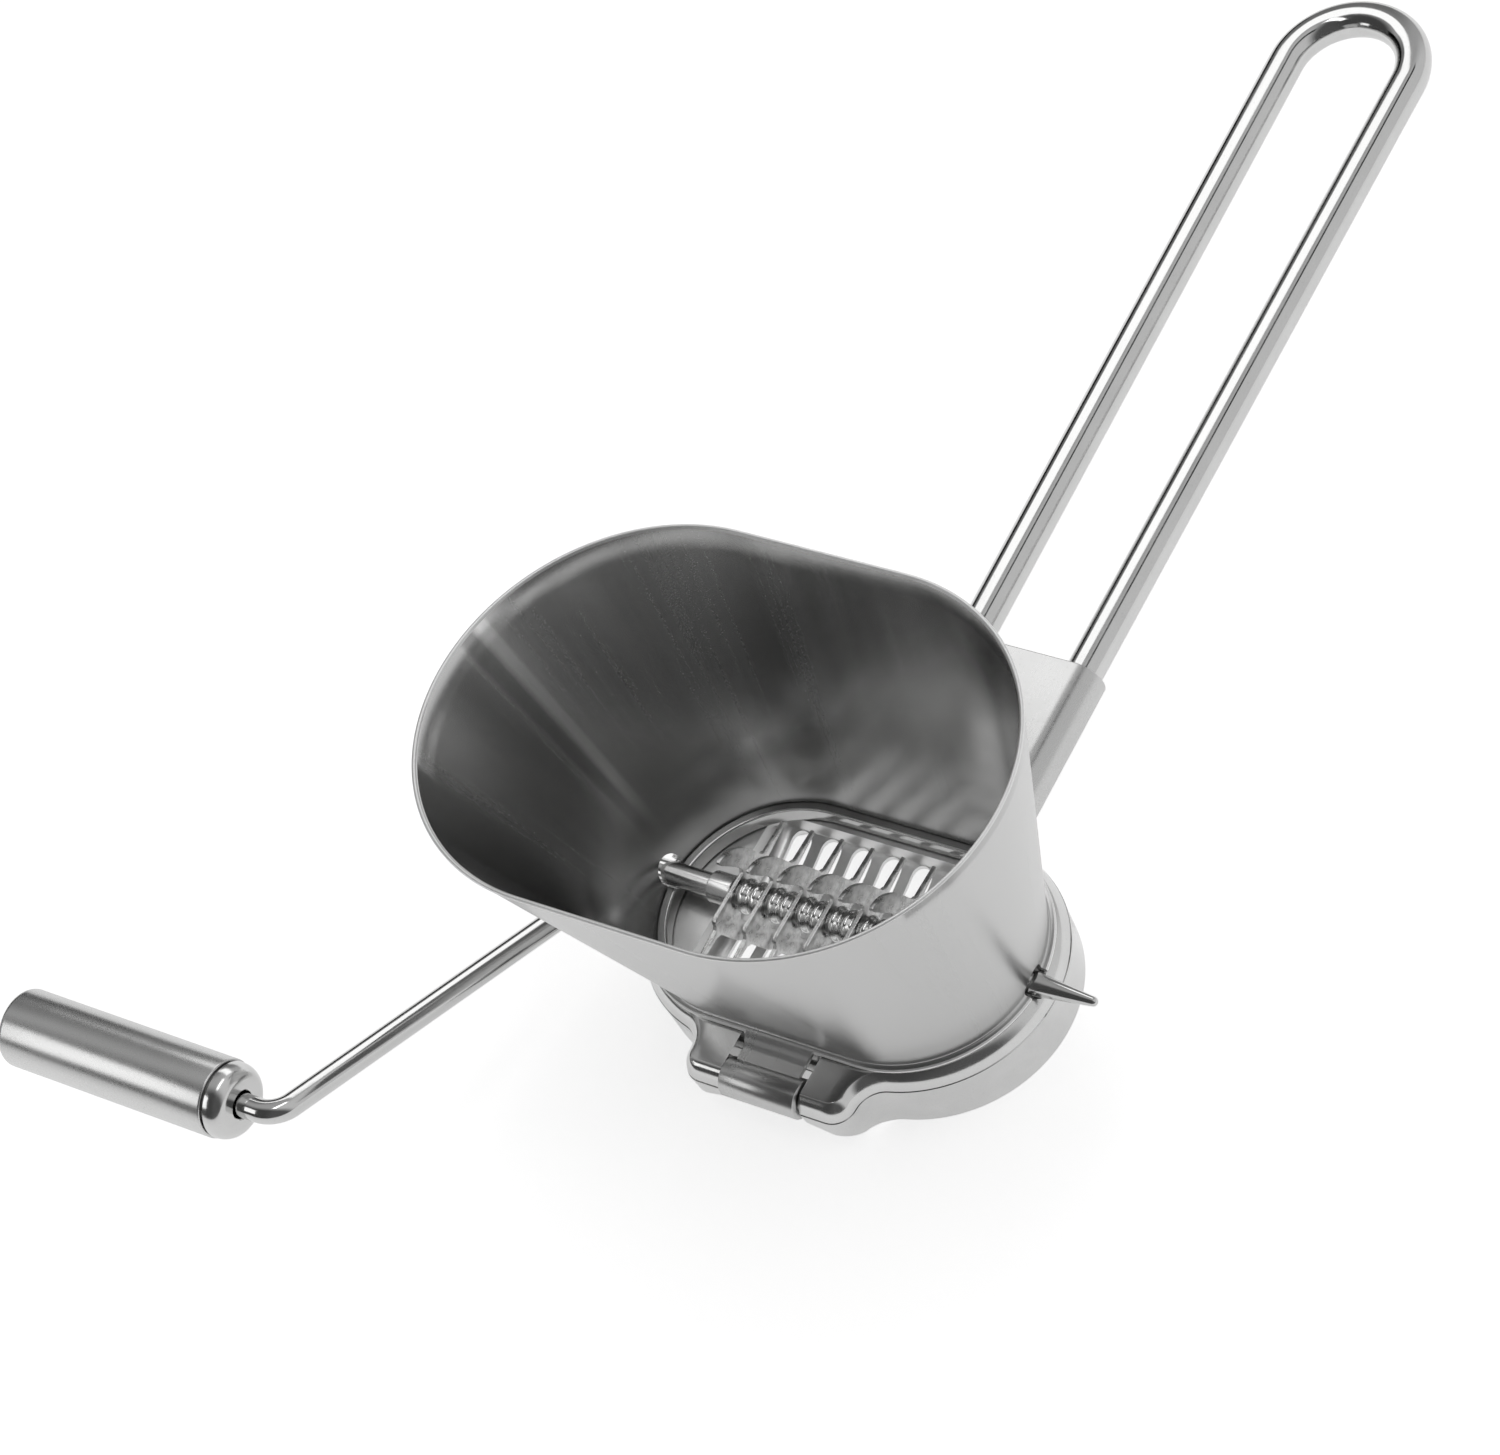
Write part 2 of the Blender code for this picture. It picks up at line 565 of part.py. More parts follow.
def knob():
    """Tube, front cap, end cap and the retainer that keeps them on the wire."""
    spindle = bpy.data.objects.new("knob_axis", None)
    bpy.context.collection.objects.link(spindle)
    spindle.location = (0.0, -KNOB_AXIS_Y, KNOB_AXIS_Z)
    bore_r = SHAFT_R + SEAT_GAP
    tube_in = KNOB_R - KNOB_WALL
    plug = tube_in - SEAT_GAP
    face = -KNOB_START_X
    groove = face - CAP_SHOW
    tube_near = groove - GROOVE
    end = -knob_end_x()
    tube_far = end + END_SHOW + SEAT_GAP
    crown = [(face - CAP_ROUND * (1 - cos(a)), KNOB_R - SEAT_GAP - CAP_DOME * (1 - sin(a)))
             for a in (0.0, pi / 8, pi / 4, 3 * pi / 8, pi / 2)]
    front = [(face, bore_r + SEAT_GAP), *crown, (groove, KNOB_R - SEAT_GAP), (groove, plug),
             (groove - CAP_PLUG, plug), (groove - CAP_PLUG, bore_r), (face - CAP_ROUND, bore_r)]
    edge = KNOB_WALL / 3
    tube = [(tube_near, tube_in), (tube_near, KNOB_R - edge), (tube_near - edge, KNOB_R),
            (tube_far + edge, KNOB_R), (tube_far, KNOB_R - edge), (tube_far, tube_in)]
    last = [(end, KNOB_R - END_CHAMFER), (end + END_CHAMFER, KNOB_R), (end + END_SHOW, KNOB_R),
            (end + END_SHOW, plug)]
    wire_end = end + END_SHOW + SEAT_GAP
    inside = wire_end + RETAINER_THICK + SEAT_GAP
    last += [(end + END_SHOW + CAP_PLUG, plug), (end + END_SHOW + CAP_PLUG, RETAINER_R + SEAT_GAP),
             (end + END_SHOW, RETAINER_R + SEAT_GAP)]
    for name, profile, closed in (("knob_front_cap", front, True), ("knob_tube", tube, True),
                                  ("knob_end_cap", last, False)):
        piece = add(name, turned_along_x(profile, 32, closed=closed), (0.62, 0.62, 0.62), 0.3)
        piece.parent = spindle
    back = inside - SEAT_GAP
    ring = [(wire_end, bore_r), (wire_end, RETAINER_R), (back, RETAINER_R), (back, bore_r)]
    retainer = add("knob_retainer", turned_along_x(ring, 20, closed=True), (0.5, 0.5, 0.5), 0.35)
    retainer.location = (0.0, -KNOB_AXIS_Y, KNOB_AXIS_Z)


def handle_base():
    """Empty at the ring's back, tipped up by the handle's pitch."""
    base = bpy.data.objects.new("handle_base", None)
    bpy.context.collection.objects.link(base)
    base.location = (0.0, RING_R + SEAT_GAP + (HANDLE_R + SLEEVE_WALL) * sin(HANDLE_PITCH), HANDLE_Z)
    base.rotation_euler = (HANDLE_PITCH, 0.0, 0.0)
    return base


def handle():
    """One wire bent back on itself, and the flat sleeve round its two ends."""
    base = handle_base()
    length = (HANDLE_END_Y - base.location.y) / cos(HANDLE_PITCH) - HANDLE_R
    loop_y = length - HANDLE_FAR_HALF
    spread = asin((HANDLE_FAR_HALF - HANDLE_NEAR_HALF) / loop_y)
    near = HANDLE_FAR_HALF / cos(spread) - loop_y * tan(spread)
    bow = arc(0.0, loop_y, HANDLE_FAR_HALF, -spread, pi + spread, 28)
    path = [(near, 0.0), *bow, (-near, 0.0)]
    wire = add("handle_wire", swept_wire([(x, y, 0.0) for x, y in path], [HANDLE_R] * len(path), 20),
               (0.62, 0.62, 0.62), 0.12)
    wire.parent = base
    inner_r = HANDLE_R + SEAT_GAP
    loops = []
    flare = [(0.0, SLEEVE_FLARE), (SLEEVE_FLARE_RUN * 0.35, SLEEVE_FLARE * 0.45),
             (SLEEVE_FLARE_RUN, 0.0), (SLEEVE_LENGTH, 0.0)]
    for y, wide in flare:
        loops.append(sleeve_loop(near + wide, inner_r + SLEEVE_WALL, y))
    for y, wide in reversed(flare):
        loops.append(sleeve_loop(near + wide, inner_r, y))
    sleeve = add("handle_sleeve", loft(loops, closed=True), (0.66, 0.66, 0.66), 0.3)
    sleeve.parent = base


def sleeve_loop(half, radius, y):
    """Flat round-ended loop of the sleeve at a place along the handle."""
    return [(x, y, z) for x, z in stadium(half, radius, 10)]


def stand_up():
    """Carry everything on one empty that puts the origin under the middle of the reach."""
    mill = bpy.data.objects.new("mill", None)
    bpy.context.collection.objects.link(mill)
    front_y = -KNOB_AXIS_Y - KNOB_R
    right_x = max(TIP_END_X, MOUTH_RUN + MOUTH_R)
    mill.location = ((knob_end_x() - right_x) / 2, -(HANDLE_END_Y + front_y) / 2, 0.0)
    for piece in bpy.data.objects:
        if piece != mill and piece.parent is None:
            piece.parent = mill


base_ring()
hinge_pin()
comb_plate()
hopper()
crank_shaft()
cutter()
knob()
handle()
stand_up()
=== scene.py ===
from math import asin, atan2, cos, pi, radians, sin, sqrt, tan

import bmesh
import bpy
from mathutils import Matrix, Vector


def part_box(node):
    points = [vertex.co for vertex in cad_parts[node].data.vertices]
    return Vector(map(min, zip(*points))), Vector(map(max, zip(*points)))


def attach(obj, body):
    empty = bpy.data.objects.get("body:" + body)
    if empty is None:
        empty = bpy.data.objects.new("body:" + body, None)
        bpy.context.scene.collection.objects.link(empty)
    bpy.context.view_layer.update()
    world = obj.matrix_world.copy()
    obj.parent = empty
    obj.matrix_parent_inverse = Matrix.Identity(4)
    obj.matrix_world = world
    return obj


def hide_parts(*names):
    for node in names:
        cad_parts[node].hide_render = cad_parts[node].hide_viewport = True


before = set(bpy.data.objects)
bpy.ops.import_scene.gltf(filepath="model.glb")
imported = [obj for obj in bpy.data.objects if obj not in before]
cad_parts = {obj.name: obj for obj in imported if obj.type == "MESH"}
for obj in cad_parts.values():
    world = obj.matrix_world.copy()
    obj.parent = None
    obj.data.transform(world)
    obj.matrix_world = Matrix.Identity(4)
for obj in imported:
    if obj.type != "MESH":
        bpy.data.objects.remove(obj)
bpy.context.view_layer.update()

# Base ring
# One deep-drawn polished steel pressing that the mill stands on: skirt, rounded shoulder, narrow
# top that is duller and painted dark grey inside the hopper as shade, a lip turned down round the
# opening, and two hinge ears.
MM = 0.001
RING_RUN = 15.2
RING_R = 26.2
RING_DRAFT = 0.4
RING_WALL = 1.2
CREASE_Z = 9.8
CREASE_FOLD = ((0.12, -1.2), (0.0, -0.45), (0.05, -0.20), (0.24, -0.10), (0.28, 0.04), (0.14, 0.26))
RING_TOP_Z = 13.3
SHOULDER_WIDE = 2.6
SHOULDER_IN = 0.36
SHOULDER_UP = 0.94
TOP_BAND = 2.3
OPENING_R = RING_R - 5.5
LIP_Z = 10.2
LIP_ROUND = 0.4
LIP_ROWS = 8
EAR_INNER_X = 8.3
EAR_OUTER_X = 17.6
EAR_CORNER_R = 4.2
EAR_BLEND_R = 5.0
EAR_TOP_TAKE = 1.9
EAR_SIDE_SPREAD = 0.96
FRONT_STEPS = 6
EAR_SIDE_STEPS = 8
EAR_FRONT_STEPS = 6
CLIMB_Y = 24.6
CLIMB_RUN = 9.6
CLIMB = 5.4
CLIMB_INWARD = 1.3
HINGE_Y = RING_R + 5.8
HINGE_Z = 10.55
PIN_R = 1.5
EAR_FRONT_Y = HINGE_Y + 2.6
SEAT_GAP = 0.3
SHAFT_Z = 14.4
SHAFT_R = 2.2
BORE_R = SHAFT_R + SEAT_GAP
SADDLE_NEAR_X = 34.0
SADDLE_FAR_X = 46.0

ring_low, ring_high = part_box("base_ring")
MIDDLE = Vector(((ring_low.x + ring_high.x) / 2, ring_high.y - RING_R * MM, 0.0))


class Tone:
    """A value or colour inside a finish; arithmetic on it adds the Math nodes."""

    def __init__(self, finish, socket):
        self.finish = finish
        self.socket = socket

    def math(self, operation, *values):
        return self.finish.node("Math", {"operation": operation}, dict(enumerate(values)))

    def __add__(self, other):
        return self.math("ADD", self, other)

    def __sub__(self, other):
        return self.math("SUBTRACT", self, other)

    def __mul__(self, other):
        return self.math("MULTIPLY", self, other)

    def __rsub__(self, other):
        return self.math("SUBTRACT", other, self)

    __radd__ = __add__
    __rmul__ = __mul__

    def between(self, low, high):
        """0 below low, 1 above high, and a smooth step from one to the other."""
        return self.finish.node("MapRange", {"interpolation_type": "SMOOTHSTEP"},
                                {"Value": self, "From Min": low, "From Max": high})


class Finish:
    """A material round one metal shader, whose nodes all come from node()."""

    def __init__(self, name, settings):
        self.material = bpy.data.materials.new(name)
        self.material.use_nodes = True
        self.tree = self.material.node_tree
        self.shader = self.tree.nodes["Principled BSDF"]
        self.feed(settings)

    def node(self, kind, settings, sockets, output=0):
        made = self.tree.nodes.new("ShaderNode" + kind)
        for name, value in settings.items():
            setattr(made, name, value)
        for name, value in sockets.items():
            self.plug(made.inputs[name], value)
        return Tone(self, made.outputs[output])

    def plug(self, socket, value):
        if isinstance(value, Tone):
            self.tree.links.new(value.socket, socket)
        else:
            socket.default_value = value

    def feed(self, values):
        """Set or link the shader's own sockets."""
        for name, value in values.items():
            self.plug(self.shader.inputs[name], value)

    def spot(self, stretch=(1.0, 1.0, 1.0)):
        """Place on the piece in millimetres, drawn out along the axes."""
        here = self.node("TexCoord", {}, {}, "Object")
        scale = [1.0 / (MM * s) for s in stretch]
        return self.node("VectorMath", {"operation": "MULTIPLY"}, {0: here, 1: scale})

    def parts(self, vector):
        """The X, Y and Z of a vector."""
        outputs = self.node("SeparateXYZ", {}, {"Vector": vector}).socket.node.outputs
        return [Tone(self, outputs[axis]) for axis in "XYZ"]

    def along(self, vector, way):
        """How far a vector points one way."""
        return self.node("VectorMath", {"operation": "DOT_PRODUCT"}, {0: vector, 1: way}, "Value")

    def noise(self, where, scale, detail=2.0, roughness=0.5):
        return self.node("TexNoise", {}, {"Vector": where, "Scale": scale, "Detail": detail,
                                          "Roughness": roughness}, "Fac")

    def grey(self, value, tint=(1.0, 1.0, 1.0)):
        """A grey that follows a value, with a slight tint of the steel."""
        flat = self.node("CombineColor", {}, {0: value, 1: value, 2: value})
        return self.node("Mix", {"data_type": "RGBA", "blend_type": "MULTIPLY"},
                         {0: 1.0, 6: flat, 7: (*tint, 1.0)}, 2)

    def bump(self, height, depth):
        """A bump of that depth in millimetres."""
        return self.node("Bump", {}, {"Strength": 1.0, "Distance": depth * MM, "Height": height})


def steel(name, grey, rough, fine, depth, cloud, wear, grain=(1.0, 1.0, 1.0), patch=0.11):
    """Bare steel: a drawn grain, cloudy handling marks and small dull spots."""
    finish = Finish(name, {"Metallic": 1.0})
    lines = finish.noise(finish.spot(grain), fine, 3.0, 0.6)
    marks = finish.noise(finish.spot(), patch, 3.0, 0.55).between(0.35, 0.70)
    specks = finish.noise(finish.spot(), 1.9, 2.0, 0.5).between(0.62, 0.74)
    tone = grey * (1.0 + cloud * (marks - 0.5) + 0.06 * (lines - 0.5)) - 0.03 * specks
    finish.feed({"Base Color": finish.grey(tone, (1.0, 1.0, 0.995)),
                 "Roughness": rough + wear * marks + 0.10 * (lines - 0.5) + 0.04 * specks,
                 "Normal": finish.bump(lines, depth)})
    return finish


def held(value):
    """A value held between 0 and 1."""
    return min(max(value, 0.0), 1.0)


def quarter(steps):
    """Angles from nought to a right angle."""
    return [pi / 2 * k / steps for k in range(steps + 1)]


def arc(cx, cy, radius, start, end, steps):
    """Points of a circular arc, both ends included."""
    return [(cx + radius * cos(start + (end - start) * i / steps),
             cy + radius * sin(start + (end - start) * i / steps)) for i in range(steps + 1)]


def line(start, end, steps):
    """Points of a straight run without its last one."""
    return [tuple(a + (b - a) * i / steps for a, b in zip(start, end)) for i in range(steps)]


def stadium(run, radius, round_steps=64, run_steps=20):
    """Two half circles joined by straight runs along X, counter-clockwise."""
    right = arc(run, 0.0, radius, -pi / 2, pi / 2, round_steps)
    left = arc(-run, 0.0, radius, pi / 2, 3 * pi / 2, round_steps)
    back = line(right[-1], left[0], run_steps)[1:]
    front = line(left[-1], right[0], run_steps)[1:]
    return right + back + left + front


def skin(loops, closed=False, caps=True):
    """A mesh over equal loops of points in millimetres."""
    build = bmesh.new()
    rows = [[build.verts.new(Vector(point) * MM) for point in loop] for loop in loops]
    pairs = list(zip(rows, rows[1:]))
    if closed:
        pairs.append((rows[-1], rows[0]))
    count = len(rows[0])
    for low, high in pairs:
        for i in range(count):
            build.faces.new((low[i], low[(i + 1) % count], high[(i + 1) % count], high[i]))
    if caps and not closed:
        build.faces.new(rows[0][::-1])
        build.faces.new(rows[-1])
    return build


def shape(name, build, *finishes):
    """An object made of a skin, standing in its place on the mill."""
    bmesh.ops.recalc_face_normals(build, faces=build.faces)
    mesh = bpy.data.meshes.new(name)
    build.to_mesh(mesh)
    build.free()
    for finish in finishes:
        mesh.materials.append(finish.material)
    piece = bpy.data.objects.new(name, mesh)
    piece.location = MIDDLE
    bpy.context.collection.objects.link(piece)
    return piece


def work(piece, kind, **settings):
    """Run one modifier on a piece and keep its result."""
    step = piece.modifiers.new(kind.lower(), kind)
    for name, value in settings.items():
        setattr(step, name, value)
    bpy.context.view_layer.update()
    made = bpy.data.meshes.new_from_object(piece.evaluated_get(bpy.context.evaluated_depsgraph_get()))
    piece.modifiers.clear()
    old = piece.data
    piece.data = made
    bpy.data.meshes.remove(old)


def join(piece, tool, operation="DIFFERENCE"):
    """Cut a tool's shape out of a piece, or weld it on, and drop the tool."""
    work(piece, "BOOLEAN", operation=operation, object=tool, solver="EXACT")
    bpy.data.objects.remove(tool, do_unlink=True)


def fit(piece, body, slot, *nodes, edge=30.0):
    """Smooth a finished piece, hang it on its body and let it stand for its solids."""
    piece.data.shade_smooth()
    piece.data.set_sharp_from_angle(angle=radians(edge))
    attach(piece, body)
    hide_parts(*nodes)
    return piece


def turned(profile, steps=64, closed=False, y=0.0, z=SHAFT_Z):
    """A profile of (x, radius) points turned about a line along X."""
    return skin([[(x, y + r * cos(2 * pi * i / steps), z + r * sin(2 * pi * i / steps))
                  for i in range(steps)] for x, r in profile], closed=closed)


def ring_outline(inset, wall=0.0):
    """Plan of the ring with its ears: half of it from the front's middle, then its mirror."""
    radius = RING_R - inset - wall
    inner = EAR_INNER_X + wall
    outer = EAR_OUTER_X - inset - wall
    front = EAR_FRONT_Y - inset - wall
    corner = EAR_CORNER_R - min(inset + wall, EAR_CORNER_R * 0.6)
    blend_x = EAR_OUTER_X + EAR_BLEND_R
    blend_y = -sqrt((RING_R + EAR_BLEND_R) ** 2 - (blend_x - RING_RUN) ** 2)
    lean = atan2(blend_x - RING_RUN, -blend_y)
    half = line((0.0, -radius), (inner, -radius), FRONT_STEPS)
    half += line((inner, -radius), (inner, -front), EAR_SIDE_STEPS)
    half += line((inner, -front), (outer - corner, -front), EAR_FRONT_STEPS)
    half += arc(outer - corner, -front + corner, corner, -pi / 2, 0.0, 10)
    half += line((outer, -front + corner), (outer, blend_y), 4)[1:]
    half += arc(blend_x, blend_y, EAR_BLEND_R + inset + wall, pi, pi / 2 + lean, 12)
    half += arc(RING_RUN, 0.0, radius, -pi / 2 + lean, pi / 2, 60)[1:]
    half += line((RING_RUN, radius), (0.0, radius), 10)[1:]
    half.append((0.0, radius))
    return half + [(-x, y) for x, y in half[-2:0:-1]]


def opening_loop(radius, z):
    """Loop round the opening, with a point for each one of the ring's outline."""
    plan = []
    edge_of = ring_outline(SHOULDER_WIDE)
    side_from = FRONT_STEPS
    front_from = side_from + EAR_SIDE_STEPS
    for i in range(len(edge_of) // 2 + 1):
        x, y = edge_of[i]
        if y > 0 or x > RING_RUN:
            angle = pi / 2 if y > 0 and x <= RING_RUN else atan2(y, x - RING_RUN)
            plan.append((min(x, RING_RUN) + radius * cos(angle), radius * sin(angle)))
        else:
            if side_from <= i < front_from:
                x = EAR_INNER_X + EAR_SIDE_SPREAD / EAR_SIDE_STEPS * (i - side_from)
            elif front_from <= i < front_from + EAR_FRONT_STEPS:
                front_run = EAR_OUTER_X - EAR_CORNER_R - EAR_TOP_TAKE - EAR_INNER_X
                x = EAR_INNER_X + EAR_SIDE_SPREAD + front_run * (i - front_from) / (EAR_FRONT_STEPS + 1)
            plan.append((x, -radius))
    return [(x, y, z) for x, y in plan + [(-x, y) for x, y in plan[-2:0:-1]]]


def foot_z(x, y):
    """Height of the pressing's lower edge: level round the ring, climbing under the ears."""
    x = abs(x)
    if not EAR_INNER_X - 0.01 < x < EAR_OUTER_X + EAR_BLEND_R:
        return 0.0
    ahead = held((-y - CLIMB_Y) / CLIMB_RUN)
    side = held((EAR_OUTER_X + 3.4 - x) / 3.0)
    inward = held((EAR_OUTER_X - EAR_CORNER_R - x) / 5.0)
    return side * (CLIMB * ahead ** 1.4 + CLIMB_INWARD * inward * ahead)


def ring_loop(inset, z=None, wall=0.0):
    """One loop of the pressing at a height; without one it follows the foot."""
    return [(x, y, foot_z(x, y) if z is None else z) for x, y in ring_outline(inset, wall)]


pressed_steel = steel("pressed_ring", 0.70, 0.14, fine=3.5, depth=0.001, cloud=0.06, wear=0.05,
                      grain=(1.0, 1.0, 2.5))
# Painted shade: the ring's top inside the hopper is painted dark grey for the shade under the hopper's foot.
painted_shade_band_steel = steel("ring_top_inside_painted_shade", 0.30, 0.30, fine=3.0, depth=0.02, cloud=0.20, wear=0.10)
lip_steel = steel("ring_lip", 0.52, 0.12, fine=3.0, depth=0.001, cloud=0.06, wear=0.04)
shoulder = []
for t in (i / 8 for i in range(9)):
    shoulder.append((SHOULDER_WIDE * (2 * t * (1 - t) * SHOULDER_IN + t * t),
                     CREASE_Z + (RING_TOP_Z - CREASE_Z) * (2 * t * (1 - t) * SHOULDER_UP + t * t)))
ring_loops = [ring_loop(RING_DRAFT)]
ring_loops += [ring_loop(inset, CREASE_Z + above) for inset, above in CREASE_FOLD]
ring_loops += [ring_loop(inset, z) for inset, z in shoulder[2:]]
band_row = len(ring_loops)
ring_loops.append(opening_loop(OPENING_R + TOP_BAND, RING_TOP_Z))
ring_loops += [opening_loop(OPENING_R + LIP_ROUND * (1 - sin(a)), RING_TOP_Z - LIP_ROUND * (1 - cos(a)))
               for a in quarter(4)]
ring_loops += [opening_loop(OPENING_R, LIP_Z), opening_loop(OPENING_R + RING_WALL, LIP_Z),
               opening_loop(OPENING_R + RING_WALL, RING_TOP_Z - RING_WALL)]
ring_loops += [ring_loop(inset, z - RING_WALL * inset / SHOULDER_WIDE, RING_WALL)
               for inset, z in reversed(shoulder)]
ring_loops.append(ring_loop(RING_DRAFT, wall=RING_WALL))
build = skin(ring_loops, closed=True)
for i, face in enumerate(build.faces):
    row = i // len(ring_loops[0])
    face.material_index = 1 if row == band_row else 2 if band_row < row <= band_row + LIP_ROWS else 0
base_ring = shape("pressed_ring_with_ears", build, pressed_steel, painted_shade_band_steel, lip_steel)
for side in (-1, 1):
    saddle = turned([(side * SADDLE_NEAR_X, BORE_R), (side * SADDLE_FAR_X, BORE_R)])
    join(base_ring, shape("saddle", saddle))
pin_seat = EAR_OUTER_X - EAR_CORNER_R
pin_bore = turned([(-pin_seat, PIN_R + SEAT_GAP), (pin_seat, PIN_R + SEAT_GAP)], 40, False, -HINGE_Y, HINGE_Z)
join(base_ring, shape("pin bore", pin_bore))
fit(base_ring, "frame", "pressed_ring", "base_ring")

# Comb plate
# Punched steel sheet welded under the ring's opening: a flat rim, and a deep trough with a slot
# for each blade, so that the bars between the slots hold the leaves against the cut.
PLATE_TOP = LIP_Z - SEAT_GAP
PLATE_THICK = 0.7
TROUGH_HALF = OPENING_R - 1.1
TROUGH_DEPTH = 5.2
TROUGH_RUN = 25.15
TROUGH_END = 3.0
TROUGH_SIDE = ((1.0, 0.0), (0.985, 0.52), (0.965, 0.62), (0.90, 0.73), (0.79, 0.84), (0.66, 0.93),
               (0.45, 1.0), (0.0, 1.02))
SLOT_WIDE = 4.27
SLOT_HALF = TROUGH_HALF - 0.45
BLADES = 8
BLADE_PITCH = 6.47
blade_places = [(i - (BLADES - 1) / 2) * BLADE_PITCH for i in range(BLADES)]


def smooth_through(points, steps=4):
    """A rounded line through points, with a few steps between each two."""
    ends = [points[0], *points, points[-1]]
    curve = []
    for a, b, c, d in zip(ends, ends[1:], ends[2:], ends[3:]):
        for k in range(steps):
            t = k / steps
            curve.append(tuple(0.5 * (2 * q + (r - p) * t + (2 * p - 5 * q + 4 * r - s) * t * t
                                      + (3 * q - p - 3 * r + s) * t ** 3) for p, q, r, s in zip(a, b, c, d)))
    return curve + [points[-1]]


def trough_skin(drop):
    """The trough's inside, or with a drop its outside, as a closed shape."""
    ends = [(TROUGH_RUN + TROUGH_END * sin(a) + drop, max(cos(a), 0.06))
            for a in (pi * 0.47 * k / 12 for k in range(13))]
    loops = []
    for x, share in [(-x, share) for x, share in reversed(ends)] + ends:
        half = TROUGH_HALF * share ** 0.12 + drop
        deep = (TROUGH_DEPTH + drop / 2) * share
        back = [(x, half * y, PLATE_TOP - drop / 2 - deep * z) for y, z in smooth_through(TROUGH_SIDE)]
        loop = [(x, -y, z) for x, y, z in back] + back[-2::-1]
        if not drop:
            loop += [(x, half, PLATE_TOP + 1.0), (x, -half, PLATE_TOP + 1.0)]
        loops.append(loop)
    return skin(loops)


comb_steel = steel("comb_sheet", 0.84, 0.34, fine=3.0, depth=0.0012, cloud=0.08, wear=0.08,
                   grain=(3.0, 1.0, 1.0))
plate_plan = stadium(RING_RUN, RING_R - RING_WALL - SEAT_GAP - RING_DRAFT)
comb = shape("comb_plate_punched", skin([[(x, y, z) for x, y in plate_plan]
                                         for z in (PLATE_TOP - PLATE_THICK, PLATE_TOP)]), comb_steel)
join(comb, shape("trough", trough_skin(PLATE_THICK)), "UNION")
join(comb, shape("trough hollow", trough_skin(0.0)))
slot_plan = stadium(SLOT_HALF - SLOT_WIDE / 2, SLOT_WIDE / 2, 12, 6)
for x in blade_places:
    join(comb, shape("slot", skin([[(x - dy, dx, z) for dx, dy in slot_plan] for z in (0.0, LIP_Z + 1.0)])))
fit(comb, "frame", "comb_sheet", "comb_plate")

# Cutter blades
# Eight stamped blades, threaded on the shaft side by side: a thin arm to the front, a hooked lobe
# over the hub that draws the leaves in, and the same again the other way up to the back.
BLADE_THICK = 0.8
BLADE_REACH = 16.0
HUB = 3.0
HOOK_HIGH = 11.0
HOOK_ROOT = 8.3
HOOK = ((0.33, 0.30), (0.34, 0.37), (0.23, 0.55), (0.08, 0.73), (-0.06, 0.90), (-0.08, 0.97), (-0.03, 1.0),
        (0.20, 0.96), (0.44, 0.84), (0.66, 0.64), (0.80, 0.43), (0.92, 0.21), (1.0, 0.09), (1.1, 0.05))


def thread(first, places, node, tail, slot):
    """Set a piece and its copies on the shaft at their places along it."""
    for i, x in enumerate(places):
        piece = first
        if i:
            piece = bpy.data.objects.new(f"{node}_{i + 1}_{tail}", first.data)
            bpy.context.collection.objects.link(piece)
        piece.location = MIDDLE + Vector((x * MM, 0.0, 0.0))
        fit(piece, "rotor", slot, f"{node}_{i + 1}")


half_blade = [(-BLADE_REACH, 0.0), (-0.98 * BLADE_REACH, 0.5), (-1.05 * HOOK_ROOT, 1.1)]
half_blade += smooth_through([(-HOOK_ROOT, 0.5 * HUB), (-0.96 * HOOK_ROOT, 0.86 * HUB),
                              (-0.84 * HOOK_ROOT, HUB)])
half_blade += smooth_through([(0.28 * HOOK_ROOT, HUB)] + [(y * HOOK_ROOT, z * HOOK_HIGH) for y, z in HOOK])
half_blade[-1] = (1.1 * HOOK_ROOT, 0.03 * HOOK_HIGH)
blade_plan = half_blade + [(-y, -z) for y, z in half_blade]
blade_steel = steel("blade_steel", 0.82, 0.26, fine=1.6, depth=0.012, cloud=0.45, wear=0.16,
                    grain=(1.0, 3.0, 1.0), patch=0.42)
first_blade = shape("blade_1_sheet", skin([[(x, y, SHAFT_Z + z) for y, z in blade_plan]
                                           for x in (-BLADE_THICK / 2, BLADE_THICK / 2)]), blade_steel)
join(first_blade, shape("blade bore", turned([(-1.0, BORE_R), (1.0, BORE_R)], 40)))
work(first_blade, "BEVEL", width=0.12 * MM, segments=2, limit_method="ANGLE", angle_limit=radians(50))
thread(first_blade, blade_places, "blade", "sheet", "blade_steel")

# Spacers and collars
# Short turned sleeves on the shaft: a spool with two beads between each pair of blades, and a
# plain collar outside the first and the last.
SPACER_R = 3.3
BEAD_DEEP = 0.55
COLLAR_R = 2.95
COLLAR_LONG = 4.9
COLLAR_EDGE = 0.15
turned_steel = steel("turned_steel", 0.74, 0.12, fine=1.5, depth=0.001, cloud=0.05, wear=0.05,
                     grain=(0.15, 1.0, 1.0))
long = BLADE_PITCH - BLADE_THICK - 2 * SEAT_GAP
beads = [(long * (k / 32 - 0.5), SPACER_R - BEAD_DEEP * (0.5 + 0.5 * cos(4 * pi * k / 32)) ** 1.3)
         for k in range(33)]
spool = [(-long / 2, BORE_R), *beads, (long / 2, BORE_R)]
thread(shape("spacer_1_spool", turned(spool, 56, True), turned_steel),
       [x + BLADE_PITCH / 2 for x in blade_places[:-1]], "spacer", "spool", "turned_steel")
